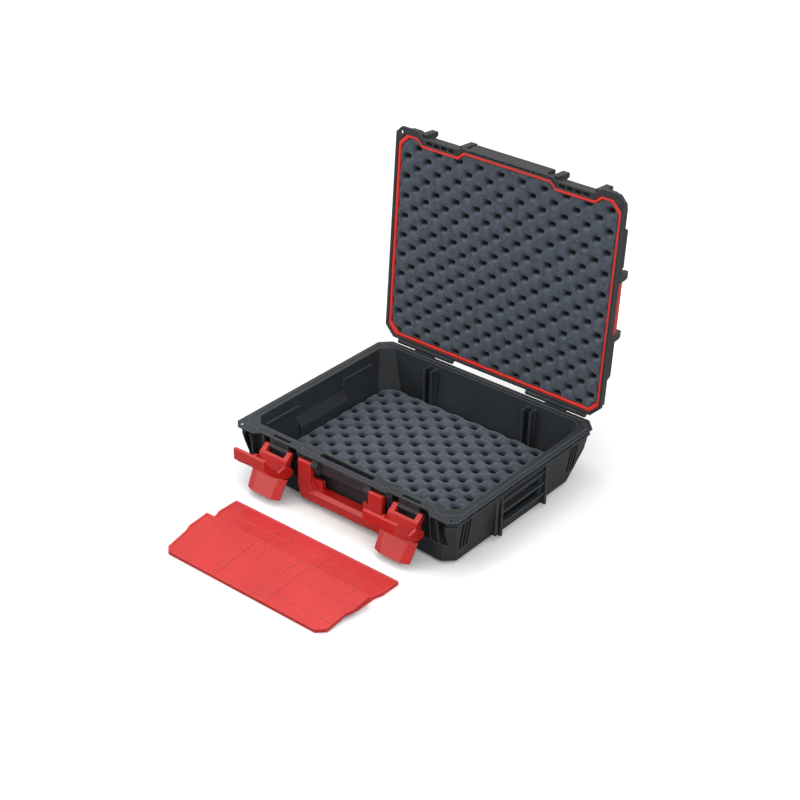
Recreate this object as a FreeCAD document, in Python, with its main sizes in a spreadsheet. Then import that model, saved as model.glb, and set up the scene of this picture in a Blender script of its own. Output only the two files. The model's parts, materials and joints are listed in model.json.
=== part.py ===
import FreeCAD, Part
import math
import os
import Sketcher

os.makedirs("parts", exist_ok=True)
doc = FreeCAD.newDocument("tool_case")
sheet = doc.addObject("Spreadsheet::Sheet", "sizes")
Vector = FreeCAD.Vector


class Size:
    """A size that knows its value and the words that work it out from the sheet."""

    def __init__(self, value, text):
        self.value = float(value)
        self.text = text

    def joined(self, other, value, sign):
        return Size(value, "(" + self.text + sign + other.text + ")")

    def __add__(self, other):
        other = as_size(other)
        return self.joined(other, self.value + other.value, " + ")

    def __radd__(self, other):
        return as_size(other) + self

    def __sub__(self, other):
        other = as_size(other)
        return self.joined(other, self.value - other.value, " - ")

    def __rsub__(self, other):
        return as_size(other) - self

    def __mul__(self, other):
        other = as_size(other)
        return self.joined(other, self.value * other.value, " * ")

    def __rmul__(self, other):
        return as_size(other) * self

    def __truediv__(self, other):
        other = as_size(other)
        return self.joined(other, self.value / other.value, " / ")

    def __neg__(self):
        return as_size(-1) * self


def as_size(number):
    if isinstance(number, Size):
        return number
    return Size(number, "(" + repr(float(number)) + ")")


def cosine(angle):
    return Size(math.cos(math.radians(angle.value)), "cos(" + angle.text + ")")


def sine(angle):
    return Size(math.sin(math.radians(angle.value)), "sin(" + angle.text + ")")


row = 0


def given(numbers):
    """Driving dimensions: each becomes a row of the sheet, with its name and its number."""
    global row
    made = []
    for alias, number in numbers.items():
        row += 1
        sheet.set("A" + str(row), alias)
        sheet.set("B" + str(row), str(number))
        sheet.setAlias("B" + str(row), alias)
        made.append(Size(number, "sizes." + alias))
    return made


# Case as a whole. Heights are above the floor, and the rim is where lid and base meet.
(width, depth, rim, front_cut, back_cut, floor_gap, running, side_play, soft_gap) = given({
    "case_width": 415,  # rim, left to right
    "case_depth": 350.8,  # rim, front to back
    "rim_height": 84,  # floor to the rim's top face
    "front_corner_cut": 10.2,  # chamfer of the rim's front corners
    "back_corner_cut": 17,  # chamfer of the rim's back corners
    "floor_gap": 5,  # floor to the underside of the base
    "running_clearance": 0.05,  # radial play of every pin in its bore
    "side_play": 0.35,  # play between moving faces
    "soft_gap": 0.4,  # gap round foam and seal
})

# Front of the rim: a shallow step behind the handle and a deeper one at each latch.
(centre_half, centre_step, latch_x, bay_half, bay_step, bay_slope, low_bay, low_centre) = given({
    "centre_half": 83,  # half width of the step behind the handle
    "centre_step": 5,  # depth of the step behind the handle
    "latch_centre": 122.5,  # case centre to the middle of a latch
    "latch_bay_half": 34.5,  # half width of a latch bay
    "latch_bay_step": 9,  # depth of a latch bay
    "latch_bay_slope": 10,  # run of the bay's slanting outer side
    "latch_bay_low": 1.5,  # depth of a latch bay at the underside and on the lid's outer face
    "centre_step_low": 0.8,  # depth of the middle step at the same heights
})

# Walls of the base.
(plate, groove_low, groove_in, lip_low, lip_in, wall_in, foot_in, foot_cut, bevel_up, bevel_cut,
 base_floor, skin, recess_half, recess_low, recess_deep, recess_turn, recess_face, slat_deep, panel_in,
 panel_rib, panel_out, panel_face, pad_half, pad_deep) = given({
    "rim_plate": 2.4,  # thickness of the rim's top plate
    "groove_low": 8,  # rim top to the underside of the groove
    "groove_inset": 6.5,  # rim edge to the bottom of the groove
    "lip_low": 10.5,  # rim top to the underside of the lip
    "lip_inset": 2,  # rim edge to the lip
    "wall_inset": 4,  # rim edge to the wall just below the lip
    "bottom_inset": 14.3,  # rim edge to the wall at the underside
    "bottom_corner_cut": 14.8,  # chamfer of the underside's front corners
    "bevel_height": 50,  # floor to where the bevel of the back corners begins
    "bevel_cut": 42,  # chamfer of the underside's back corners
    "base_floor": 3.5,  # thickness of the base's floor
    "skin": 3,  # thickness of a moulded wall
    "recess_half": 82.5,  # half width of the recess that takes the handle
    "recess_low": 6.5,  # floor to the lower end of that recess
    "recess_deep": 151,  # centre to the back of that recess, behind the grip
    "recess_turn": 46,  # floor to where the recess begins to get shallower
    "recess_face": 164.3,  # centre to the recess's shallow upper part
    "slat_deep": 6,  # depth of the ribbed recesses in the side walls
    "panel_in": 158.6,  # centre to the inner side of a front corner panel
    "panel_rib": 176,  # centre to the rib that divides such a panel
    "panel_out": 190,  # centre to the outer side of a front corner panel
    "panel_face": 157,  # centre to the face of a front corner panel
    "middle_pad_half": 60,  # half length of the pad in the middle of the underside
    "middle_pad_deep": 40,  # half width of that pad
})

# Inside of the base.
(room_half, room_back, room_front, room_cut, room_cut_low, room_draft, room_draft_ends, shelf_front,
 shelf_deep, slot_half, slot_near, slot_far, slot_deep) = given({
    "room_half": 191.5,  # half width of the room at the rim
    "room_back": 160.5,  # centre to the room's back edge at the rim
    "room_front": 149,  # centre to the room's front edge at the rim
    "room_corner_cut": 16,  # chamfer of the room's corners
    "room_cut_low": 26,  # chamfer of the room's back corners at the floor
    "room_draft": 11,  # how far the side walls lean in at the floor
    "room_draft_ends": 7,  # how far front and back walls lean in
    "shelf_front": 141.2,  # centre to the inner edge behind the handle
    "shelf_deep": 34,  # height of the thick wall behind the handle
    "grip_slot_half": 50,  # half length of the slot in the front rim
    "grip_slot_near": 147,  # centre to the inner side of that slot
    "grip_slot_far": 162.5,  # centre to the outer side of that slot
    "grip_slot_deep": 20,  # depth of that slot
})

# Side bays, which take the stacking clips, and the block that each makes inside.
(bay_front, bay_back, bay_out, block_half, block_top, block_bend, rim_slot_half, rim_slot_near,
 rim_slot_far, rim_slot_deep, latch_hole_low, latch_hole_high, latch_hole_turn, latch_hole_side,
 eyelet_in, eyelet_back, eyelet_r, eyelet_clear, ledge_out, ledge_thick, skid_in, pad_long, pad_wide,
 pad_x, pad_y) = given({
    "side_bay_front": 56,  # centre to the bay's front end
    "side_bay_back": 47,  # centre to the bay's back end
    "side_bay_face": 197.5,  # centre to the shallow face of the bay
    "block_half": 178,  # centre to the inner face of the block
    "block_top": 30,  # rim top to the block's upper edge at the wall
    "block_bend": 49,  # rim top to the block's lower bend
    "rim_slot_half": 17,  # half length of the slot above a latch
    "rim_slot_near": 156.5,  # centre to the inner side of that slot
    "rim_slot_far": 162.5,  # centre to the outer side of that slot
    "rim_slot_deep": 6,  # depth of that slot
    "latch_hole_low": 52,  # rim top to the lower end of a latch arm's opening
    "latch_hole_high": 3.2,  # rim top to the upper end of that opening
    "latch_hole_turn": 4,  # bevel of that opening's upper corners
    "latch_hole_side": 3,  # room beside the hook's arm in that opening
    "eyelet_in": 10.5,  # rim's side edge to an eyelet's centre
    "eyelet_back": 9.1,  # rim's front edge to an eyelet's centre
    "eyelet_radius": 3,  # radius of a padlock eyelet
    "eyelet_clear": 28,  # leg of the open corner under an eyelet
    "ledge_out": 202.6,  # centre to the edge of a ledge in the bay
    "ledge_thick": 2.6,  # thickness of a ledge
    "skid_inset": 26,  # rim edge to the inner side of a skid
    "foot_pad_long": 44,  # length of a corner foot
    "foot_pad_wide": 30,  # width of a corner foot
    "foot_pad_x": 120,  # centre to the inner side of a corner foot
    "foot_pad_y": 146,  # centre to the outer side of a corner foot
})

# Seal, its groove in the lid and the low tongue on the base.
(seal_x, seal_y, seal_back, seal_bay, seal_cut, seal_wide, seal_thick, seal_deep, tongue_wide,
 tongue_high) = given({
    "seal_half": 200.6,  # centre to the middle of the seal, sideways
    "seal_front": 162.2,  # centre to the middle of the seal at the front
    "seal_back": 168.4,  # centre to the middle of the seal at the back
    "seal_bay": 152.9,  # centre to the middle of the seal at a latch
    "seal_corner_cut": 14.6,  # chamfer of the seal's corners
    "seal_width": 4.6,  # width of the seal
    "seal_thickness": 9.5,  # thickness of the seal
    "seal_groove_deep": 11,  # rim face of the lid to the groove's bottom
    "tongue_width": 2,  # width of the tongue
    "tongue_height": 1.2,  # height of the tongue
})

# Lid.
(lid_high, lid_edge, lid_wall, groove_roof, lid_top_in, lid_skin, lid_rib, lid_rib_low, lid_open,
 rail_high, rail_wide, rail_in, rail_long, clip_high, clip_long, flap_mid, flap_half, flap_axis_in,
 flap_axis_up, flap_pin_r, flap_pin_in, flap_pin_out, ear_wide, ear_out, front_rail_half, keeper_low,
 keeper_high, pocket_near, pocket_far, pocket_deep, pocket_long, edge_near, edge_far, edge_deep,
 edge_long) = given({
    "lid_height": 24,  # rim face of the lid to its outer face
    "lid_edge": 5,  # thickness of the lid's flange
    "lid_wall_inset": 2,  # rim edge to the lid's upright wall
    "groove_roof": 2,  # wall left between the seal's groove and the outside
    "lid_top_inset": 10.5,  # rim edge to the lid's outer face
    "lid_skin": 3,  # thickness of the lid's plate
    "lid_rib": 2,  # thickness of the rib inside the seal
    "lid_rib_low": 5,  # rim face of the lid down to that rib
    "lid_open_angle": 94.1,  # how far the lid has swung open
    "rail_height": 12,  # height of the stacking rails on the lid
    "rail_width": 9,  # width of a stacking rail
    "rail_inset": 11,  # rim edge to the outer side of a rail
    "rail_length": 62,  # length of a rail
    "clip_height": 18,  # height of a clip block
    "clip_length": 11,  # length of a clip block
    "flap_middle": 4,  # centre to the middle of the stacking flap
    "flap_half": 41.5,  # half length of the stacking flap
    "flap_axis_in": 7.5,  # rim edge to the flap's axis
    "flap_axis_up": 1,  # lid's outer face up to the flap's axis
    "flap_pin_radius": 1.2,  # radius of a flap pin
    "flap_pin_in": 12,  # length of a flap pin inside the flap
    "flap_pin_out": 6.6,  # depth of a flap pin's hole in its clip block
    "ear_width": 10,  # width of an ear beside a latch
    "ear_front": 171,  # centre to the front of an ear
    "front_rail_half": 70,  # half length of the lid's front rail
    "keeper_face": 164.6,  # centre to the lid's face behind a hook, below its edge
    "keeper_edge": 163.1,  # centre to the lid's edge that a hook bears on
    "edge_pocket_near": 157.8,  # centre to the inner side of the pockets in the lid's edge at a latch
    "edge_pocket_far": 163.2,  # centre to their outer side
    "edge_pocket_deep": 6.5,  # depth of these pockets
    "edge_pocket_long": 12.4,  # length of one of them
    "front_pocket_near": 166.3,  # centre to the inner side of the pockets in the lid's front edge
    "front_pocket_far": 168.9,  # centre to their outer side
    "front_pocket_deep": 4.2,  # depth of these pockets
    "front_pocket_long": 20.4,  # length of one of them
})

# Hinge at the back.
(hinge_out, hinge_up, knuckle_r, hinge_pin_r, knuckle_in, knuckle_one, knuckle_two, knuckle_out) = given({
    "hinge_out": 4.03,  # rim's back edge to the hinge axis
    "hinge_up": 4.39,  # rim's top face to the hinge axis
    "knuckle_radius": 5,  # radius of the hinge knuckles
    "hinge_pin_radius": 1.5,  # radius of a hinge pin
    "knuckle_inner": 72,  # centre to a hinge's inner end
    "knuckle_first": 108,  # centre to the first gap of a hinge
    "knuckle_second": 146,  # centre to the second gap of a hinge
    "knuckle_outer": 180,  # centre to a hinge's outer end
})

# Latch. Its lever turns on the front wall, and the hook turns on the lever.
(lever_y, lever_z, hook_dy, hook_dz, lever_shut, lever_in, lever_out, lever_half, lever_low, lever_far,
 lever_bulge, lever_thick, lever_r, latch_pin_r, hook_arm, hook_bar_y, hook_bar_top, hook_bar_low,
 hook_bar_thick, ear_r) = given({
    "lever_axis_out": 166.5,  # centre to the lever's axis
    "lever_axis_down": 15,  # rim top to the lever's axis
    "hook_axis_out": 8.5,  # lever's axis to the hook's axis, outward
    "hook_axis_down": 25,  # lever's axis to the hook's axis, down
    "lever_shut_angle": 30,  # turn of the lever from the photo's place to shut
    "lever_arm_inner": 18,  # latch middle to a lever arm's inner side
    "lever_arm_outer": 26,  # latch middle to a lever arm's outer side
    "lever_half": 33,  # half width of the lever's plate
    "lever_low": 74,  # rim top to the lever's lower edge
    "lever_far": 203,  # centre to the lever's lower edge
    "lever_bulge": 5,  # how far the plate bulges in the middle
    "lever_thickness": 3,  # thickness of the plate
    "lever_knuckle_radius": 3.2,  # radius of the lever's knuckles
    "latch_pin_radius": 1.5,  # radius of the latch's pins
    "hook_arm_thickness": 3.4,  # thickness of a hook arm
    "hook_bar_out": 230,  # centre to the hook bar's outer face
    "hook_bar_top": 5,  # rim top up to the hook bar's upper edge
    "hook_bar_low": 13,  # rim top down to the hook bar's lower edge
    "hook_bar_thick": 5,  # thickness of the hook bar
    "hook_ear_radius": 6.6,  # radius of the hook's round ends
})

# Handle.
(handle_half, handle_in, handle_y, handle_z, handle_thick, handle_low, bar_top, grip_out, grip_thick,
 guard_wide, guard_deep, guard_high, handle_pin_r, lug_wide) = given({
    "handle_half": 79,  # half width of the handle
    "handle_inner": 55,  # half width between the handle's arms
    "handle_axis_out": 169.6,  # centre to the handle's axis
    "handle_axis_down": 13,  # rim top to the handle's axis
    "handle_thickness": 7.6,  # thickness of the handle's arms
    "handle_low": 74.5,  # rim top to the handle's lower edge
    "handle_bar_top": 54,  # rim top to the grip bar's upper edge
    "grip_out": 1,  # how far the grip bar stands out in front of the arms
    "grip_thickness": 21.4,  # thickness of the grip bar
    "guard_width": 16,  # width of the guard in a corner between arm and bar
    "guard_deep": 7.4,  # thickness of such a guard
    "guard_height": 16,  # height of such a guard above the bar
    "handle_pin_radius": 2,  # radius of a handle pin
    "handle_lug_width": 10,  # width of the lug that holds a handle pin
})

# Foam pads and loose dividers.
(foam_side, foam_front, foam_back, foam_cut, foam_cut_back, foam_thick, lid_foam_thick, lid_foam_edge,
 div_left, div_right, div_wide, div_thick, div_web, div_rib, div_far, div_reach, div_skew, tick_left,
 tick_right, tick_long, slant_one, slant_one_end, slant_two, slant_two_end) = given({
    "foam_half": 175.5,  # half width of the floor foam
    "foam_front": 139,  # centre to the floor foam's front edge
    "foam_back": 145,  # centre to the floor foam's back edge
    "foam_corner_cut": 12,  # chamfer of the floor foam's front corners
    "foam_cut_back": 16,  # chamfer of the floor foam's back corners
    "foam_thickness": 12,  # thickness of the floor foam
    "lid_foam_thickness": 19.2,  # thickness of the lid's foam
    "lid_foam_edge": 2.8,  # thickness of the foam's edge that lies over the rib
    "divider_left": 144,  # centre to the divider's upper left corner
    "divider_right": 163.5,  # centre to the divider's upper right corner
    "divider_width": 94,  # width of a divider, which stands upright in use
    "divider_thickness": 6,  # thickness of a divider's edge
    "divider_web": 2,  # thickness of a divider's web
    "divider_rib": 1.6,  # thickness of a divider's ribs
    "divider_far": 237,  # centre to the rear divider's far edge
    "divider_reach": 59,  # rear divider's near edge to the front one's
    "divider_skew": 5,  # how far the divider's left end leans in
    "tick_left": -118,  # case centre to a divider's left tick
    "tick_right": 136,  # case centre to a divider's right tick
    "tick_long": 15,  # length of these ticks
    "slant_one": -26.4,  # case centre to the first slanting rib at the upper edge
    "slant_one_end": -13,  # case centre to that rib's other end
    "slant_two": 36.9,  # case centre to the second slanting rib at the upper edge
    "slant_two_end": 31.8,  # case centre to that rib's other end
})

back_edge = depth / 2
front_edge = -depth / 2
half = width / 2
hinge_y = back_edge + hinge_out
hinge_z = rim + hinge_up
top = rim + lid_high
room_floor = floor_gap + base_floor


finished = []


def piece(label):
    """A new body with its own label."""
    made = doc.addObject("PartDesign::Body", label)
    made.Label = label
    return made


def sub_part(label):
    """A body that is a whole sub-part by itself."""
    made = piece(label)
    finished.append(made)
    return made


def plane(body, role):
    for feature in body.Origin.OriginFeatures:
        if feature.Role == role:
            return feature


def drawing(body, name, role, level):
    """An empty sketch on one of the body's own planes, moved off it by a level."""
    level = as_size(level)
    made = body.newObject("Sketcher::SketchObject", name)
    made.AttachmentSupport = [(plane(body, role), "")]
    made.MapMode = "FlatFace"
    made.AttachmentOffset = FreeCAD.Placement(Vector(0, 0, level.value), FreeCAD.Rotation())
    made.setExpression("AttachmentOffset.Base.z", level.text)
    return made


def ties(geometry, point, across, up):
    """Ties for one point of a sketch: its two sizes, or an axis where a size is nought."""
    made = []
    for kind, axis, size in (("DistanceX", -2, across), ("DistanceY", -1, up)):
        if abs(size.value) < 1e-9:
            made.append((Sketcher.Constraint("PointOnObject", geometry, point, axis), None))
        else:
            made.append((Sketcher.Constraint(kind, -1, 1, geometry, point, size.value), size))
    return made


def hold(made, wanted):
    """Adds ties to a sketch all at once, so that it is solved only once, and binds their sizes."""
    first = made.ConstraintCount
    made.addConstraint([tie for tie, size in wanted])
    for number, (tie, size) in enumerate(wanted):
        if size is not None:
            made.setExpression("Constraints[" + str(first + number) + "]", size.text)


def draw_outline(made, corners):
    """A closed outline of straight edges through corners, each a pair of sizes."""
    corners = [(as_size(across), as_size(up)) for across, up in corners]
    points = [Vector(across.value, up.value, 0) for across, up in corners]
    first = made.GeometryCount
    count = len(corners)
    made.addGeometry([Part.LineSegment(points[number], points[(number + 1) % count])
                      for number in range(count)], False)
    wanted = []
    for number in range(count):
        after = first + (number + 1) % count
        wanted.append((Sketcher.Constraint("Coincident", first + number, 2, after, 1), None))
    for number, (across, up) in enumerate(corners):
        wanted += ties(first + number, 1, across, up)
    hold(made, wanted)


def draw_circle(made, across, up, radius):
    across, up, radius = as_size(across), as_size(up), as_size(radius)
    circle = Part.Circle(Vector(across.value, up.value, 0), Vector(0, 0, 1), radius.value)
    number = made.addGeometry(circle, False)
    round_tie = (Sketcher.Constraint("Radius", number, radius.value), radius)
    hold(made, ties(number, 3, across, up) + [round_tie])


def feature(body, kind, made, length, back):
    length = as_size(length)
    step = body.newObject("PartDesign::" + kind, made.Name + "_" + kind.lower())
    step.Profile = made
    step.Length = length.value
    step.setExpression("Length", length.text)
    step.Reversed = back
    step.Refine = False
    return step


def add(body, name, role, level, corners, length, back=False):
    """Pads an outline along its plane's normal, or the other way when back is set."""
    made = drawing(body, name, role, level)
    draw_outline(made, corners)
    return feature(body, "Pad", made, length, back)


def cut(body, name, role, level, corners, length, back=False):
    """Cuts an outline against its plane's normal, or along it when back is set."""
    made = drawing(body, name, role, level)
    draw_outline(made, corners)
    return feature(body, "Pocket", made, length, back)


def add_round(body, name, role, level, centre, radius, length, back=False):
    made = drawing(body, name, role, level)
    draw_circle(made, centre[0], centre[1], radius)
    return feature(body, "Pad", made, length, back)


def cut_round(body, name, role, level, centre, radius, length, back=False):
    made = drawing(body, name, role, level)
    draw_circle(made, centre[0], centre[1], radius)
    return feature(body, "Pocket", made, length, back)


def loft(body, kind, name, low, low_corners, high, high_corners):
    """Joins two level outlines with flat faces, adding or taking away the solid between."""
    first = drawing(body, name + "_low", "XY_Plane", low)
    draw_outline(first, low_corners)
    last = drawing(body, name + "_high", "XY_Plane", high)
    draw_outline(last, high_corners)
    step = body.newObject("PartDesign::" + kind, name)
    step.Profile = first
    step.Sections = [last]
    step.Ruled = True
    step.Refine = False
    return step


def box_corners(low_across, high_across, low_up, high_up):
    return [(low_across, low_up), (high_across, low_up), (high_across, high_up), (low_across, high_up)]


def mirrored(points):
    """Right-hand points followed by their mirror images, so an outline closes by itself."""
    return points + [(-across, up) for across, up in reversed(points)]


class Moulding:
    """A large moulded piece, put together in steps: lumps are joined, then hollows are taken away."""

    def __init__(self, label):
        self.label = label
        self.core = None
        self.lumps = []
        self.hollows = []

    def add(self, name, *shape, **turn):
        body = piece(self.label + "_" + name)
        add(body, name, *shape, **turn)
        self.lumps.append(body)

    def add_round(self, name, *shape, **turn):
        body = piece(self.label + "_" + name)
        add_round(body, name, *shape, **turn)
        self.lumps.append(body)

    def cut(self, name, role, level, corners, length, back=False):
        body = piece(self.label + "_" + name)
        add(body, name, role, level, corners, length, back=not back)
        self.hollows.append(body)

    def cut_round(self, name, role, level, centre, radius, length, back=False):
        body = piece(self.label + "_" + name)
        add_round(body, name, role, level, centre, radius, length, back=not back)
        self.hollows.append(body)

    def loft(self, name, low, low_corners, high, high_corners, hollow=False):
        body = piece(self.label + "_" + name)
        loft(body, "AdditiveLoft", name, low, low_corners, high, high_corners)
        (self.hollows if hollow else self.lumps).append(body)

    def ring(self, name, level, outer, inner, length, hollow=False):
        body = piece(self.label + "_" + name)
        made = drawing(body, name, "XY_Plane", level)
        draw_outline(made, outer)
        draw_outline(made, inner)
        feature(body, "Pad", made, length, False)
        (self.hollows if hollow else self.lumps).append(body)

    def join(self, name, shapes):
        if len(shapes) == 1:
            return shapes[0]
        made = doc.addObject("Part::MultiFuse", self.label + "_" + name)
        made.Shapes = shapes
        made.Refine = False
        return made

    def settle(self, name, last=False):
        """Ends a step, and on the last one gives the piece its own label."""
        whole = self.join(name + "_joined", ([self.core] if self.core else []) + self.lumps)
        if self.hollows:
            made = doc.addObject("Part::Cut", self.label if last else self.label + "_" + name)
            made.Base = whole
            made.Tool = self.join(name + "_hollows", self.hollows)
            made.Refine = last
            whole = made
        self.core = whole
        self.lumps = []
        self.hollows = []
        if last:
            whole.Label = self.label
            finished.append(whole)
        return whole


def case_outline(inset, bay, centre, front_corner, back_corner):
    """The rim's outline from above, moved in by an inset, with its steps at the front."""
    side = half - inset
    front = front_edge + inset
    back = back_edge - inset
    bay_far = latch_x + bay_half
    bay_near = latch_x - bay_half
    right = [
        (centre_half, front + centre),
        (bay_near, front + bay),
        (bay_far, front + bay),
        (bay_far + bay_slope, front),
        (side - front_corner, front),
        (side, front + front_corner),
        (side, back - back_corner),
        (side - back_corner, back),
    ]
    return mirrored(right)


wall_top = rim - lip_low


def on_wall(upper, lower, level):
    """A size of the tapering wall at a level, between its values at the lip and at the underside."""
    return upper + (lower - upper) * (wall_top - level) / (wall_top - floor_gap)


def seal_outline(out):
    """The seal's path from above, moved out by a distance."""
    side = seal_x + out
    front = -seal_y - out
    bay = -seal_bay - out
    turn = out * 0.41
    right = [
        (centre_half - 4 + turn, front),
        (centre_half + 6 + turn, bay),
        (latch_x + bay_half - turn, bay),
        (latch_x + bay_half + bay_slope - turn, front),
        (side - seal_cut, front),
        (side, front + seal_cut),
        (side, seal_back + out - seal_cut),
        (side - seal_cut, seal_back + out),
    ]
    return mirrored(right)


def place_on_lid(made):
    """Swings a piece drawn on the closed lid to where the open lid holds it."""
    turn = FreeCAD.Rotation(Vector(1, 0, 0), -lid_open.value)
    move_y = hinge_y - hinge_y * cosine(lid_open) - hinge_z * sine(lid_open)
    move_z = hinge_z + hinge_y * sine(lid_open) - hinge_z * cosine(lid_open)
    made.Placement = FreeCAD.Placement(Vector(0, move_y.value, move_z.value), turn)
    made.setExpression("Placement.Base.y", move_y.text)
    made.setExpression("Placement.Base.z", move_z.text)


# Base shell: rim plate, groove, lip and a tapering tub.
base = Moulding("base_shell")
base.add("rim_sketch", "XY_Plane", rim - plate,
         case_outline(as_size(0), bay_step, centre_step, front_cut, back_cut), plate)
base.add("neck_sketch", "XY_Plane", rim - groove_low,
         case_outline(groove_in, bay_step - 3.5, centre_step, front_cut, back_cut), groove_low - plate)
base.add("lip_sketch", "XY_Plane", rim - lip_low,
         case_outline(lip_in, bay_step, centre_step, front_cut, back_cut), lip_low - groove_low)
bend_outline = case_outline(on_wall(wall_in, foot_in, bevel_up), on_wall(bay_step, low_bay, bevel_up),
                            on_wall(centre_step, low_centre, bevel_up),
                            on_wall(front_cut, foot_cut, bevel_up), back_cut)
base.loft("tub_lower", floor_gap, case_outline(foot_in, low_bay, low_centre, foot_cut, bevel_cut),
          bevel_up, bend_outline)
base.loft("tub_upper", bevel_up, bend_outline,
          wall_top, case_outline(wall_in, bay_step, centre_step, front_cut, back_cut))

# Small ribs that bridge the groove under the rim, and upright ribs on the side walls.
rib_places = {"front": -depth * 0.415, "slat": -depth * 0.35, "back": depth * 0.32, "tail": depth * 0.42}
for side, sign in (("right", 1), ("left", -1)):
    outer = sign * (half - 1.2)
    for place, middle in rib_places.items():
        base.add(side + "_bridge_" + place, "YZ_Plane", outer,
                 box_corners(middle - 1.2, middle + 1.2, rim - groove_low - 1, rim - plate / 2),
                 groove_in + 2, back=(sign > 0))

# Room inside, with the thick wall behind the handle left standing.
base.loft("room", room_floor,
          mirrored([(room_half - room_draft - room_cut, -room_front + room_draft_ends),
                    (room_half - room_draft, -room_front + room_draft_ends + room_cut),
                    (room_half - room_draft, room_back - room_draft_ends - room_cut_low),
                    (room_half - room_draft - room_cut_low, room_back - room_draft_ends)]),
          rim, mirrored([(room_half - room_cut, -room_front), (room_half, -room_front + room_cut),
                         (room_half, room_back - room_cut), (room_half - room_cut, room_back)]), hollow=True)
base.settle("tub_step")

# Thick wall behind the handle, and on each side a block inside with a bay outside.
base.add("shelf_sketch", "YZ_Plane", -centre_half,
         [(-room_front - 1, rim - plate), (-room_front - 1, rim - shelf_deep - 8),
          (-shelf_front - 1, rim - shelf_deep), (-shelf_front, rim - plate - 3),
          (-shelf_front - 3, rim - plate)], 2 * centre_half)
base.cut("grip_slot", "XY_Plane", rim + 1,
         box_corners(-slot_half, slot_half, -slot_far, -slot_near), slot_deep + 1)
base.cut("handle_recess", "YZ_Plane", recess_half,
         [(front_edge - 1, recess_low), (-recess_deep, recess_low), (-recess_deep, recess_turn),
          (-recess_face, recess_turn + 14), (-recess_face, rim - groove_low + 0.5),
          (front_edge - 1, rim - groove_low + 0.5)], 2 * recess_half)
deep = block_half + skin
slat_places = (("front", -0.419, -0.356), ("back", 0.316, 0.379))
for side, sign in (("right", 1), ("left", -1)):
    wall = room_half + 4
    base.add(side + "_block", "XZ_Plane", -bay_back - skin,
             [(sign * wall, rim - block_top), (sign * (room_half - 3), rim - block_top),
              (sign * block_half, rim - block_bend), (sign * block_half, room_floor - 1),
              (sign * wall, room_floor - 1)], bay_front + bay_back + 2 * skin)
    base.cut(side + "_bay", "YZ_Plane", sign * (half + 1),
             box_corners(-bay_front, bay_back, floor_gap + 4, rim - lip_low - 2),
             half + 1 - bay_out, back=(sign < 0))
    base.cut(side + "_bay_deep", "XZ_Plane", bay_front - 5,
             [(sign * (half + 1), rim - block_top - 4), (sign * (bay_out - 1), rim - block_top - 4),
              (sign * deep, rim - block_bend - 2), (sign * deep, floor_gap + 9),
              (sign * (half + 1), floor_gap + 9)], bay_front + bay_back - 10)
    slat_top = wall_top - 3
    slat_low = floor_gap + 17
    slat_in_top = on_wall(wall_in, foot_in, slat_top) + slat_deep
    slat_in_low = on_wall(wall_in, foot_in, slat_low) + slat_deep
    for place, front, back in slat_places:
        pitch = depth * (back - front) / 3
        for number in range(3):
            base.cut(side + "_slat_" + place + str(number), "XZ_Plane", -(depth * front + pitch * number),
                     [(sign * (half + 1), slat_top), (sign * (half - slat_in_top), slat_top),
                      (sign * (half - slat_in_low), slat_low), (sign * (half + 1), slat_low)],
                     pitch - 1.6)
    for number, (start, stop) in enumerate(((panel_in, panel_rib - 1), (panel_rib + 1, panel_out))):
        base.cut(side + "_corner_panel" + str(number), "XZ_Plane", -front_edge + 1,
                 box_corners(sign * start, sign * stop, bevel_up - 14, rim - plate),
                 -front_edge + 1 - panel_face)


def open_corner(sign):
    """The corner outside a padlock eyelet, where nothing lies over or under it."""
    far = half + 1
    front = front_edge - 1
    return [(sign * far, front), (sign * (far - eyelet_clear), front), (sign * far, front + eyelet_clear)]


# Openings for the latch arms, the slot above each latch and the padlock eyelets.
shut_pin_y = -lever_y - hook_dy * cosine(lever_shut) + hook_dz * sine(lever_shut)
shut_pin_z = rim - lever_z - hook_dy * sine(lever_shut) - hook_dz * cosine(lever_shut)
pin_relief = latch_pin_r + 3 * side_play
pocket_in = lever_in - side_play
pocket_out = lever_out + hook_arm + 2 * side_play + latch_hole_side
for side, sign in (("right", 1), ("left", -1)):
    middle = sign * latch_x
    for number, hand in enumerate((-1, 1)):
        base.cut(side + "_opening" + str(number), "XZ_Plane", -front_edge,
                 [(middle + hand * pocket_in, rim - latch_hole_low),
                  (middle + hand * pocket_out, rim - latch_hole_low),
                  (middle + hand * pocket_out, rim - latch_hole_high - latch_hole_turn),
                  (middle + hand * (pocket_out - latch_hole_turn), rim - latch_hole_high),
                  (middle + hand * (pocket_in + latch_hole_turn), rim - latch_hole_high),
                  (middle + hand * pocket_in, rim - latch_hole_high - latch_hole_turn)],
                 -front_edge - (lever_y - hook_dy - 6))
    base.cut(side + "_pin_relief", "YZ_Plane", middle + pocket_in + 1,
             box_corners(front_edge - 1, shut_pin_y + pin_relief, shut_pin_z - pin_relief,
                         shut_pin_z + pin_relief), 2 * pocket_in + 2)
    base.cut(side + "_rim_slot", "XY_Plane", rim + 1,
             box_corners(middle - rim_slot_half, middle + rim_slot_half, -rim_slot_far, -rim_slot_near),
             rim_slot_deep + 1)
    base.cut_round(side + "_eyelet", "XY_Plane", rim + 1,
                   (sign * (half - eyelet_in), front_edge + eyelet_back), eyelet_r, plate + 9)
    base.cut(side + "_eyelet_clear", "XY_Plane", rim - plate, open_corner(sign), lip_low - plate + 2)
base.settle("openings_step")

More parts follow.
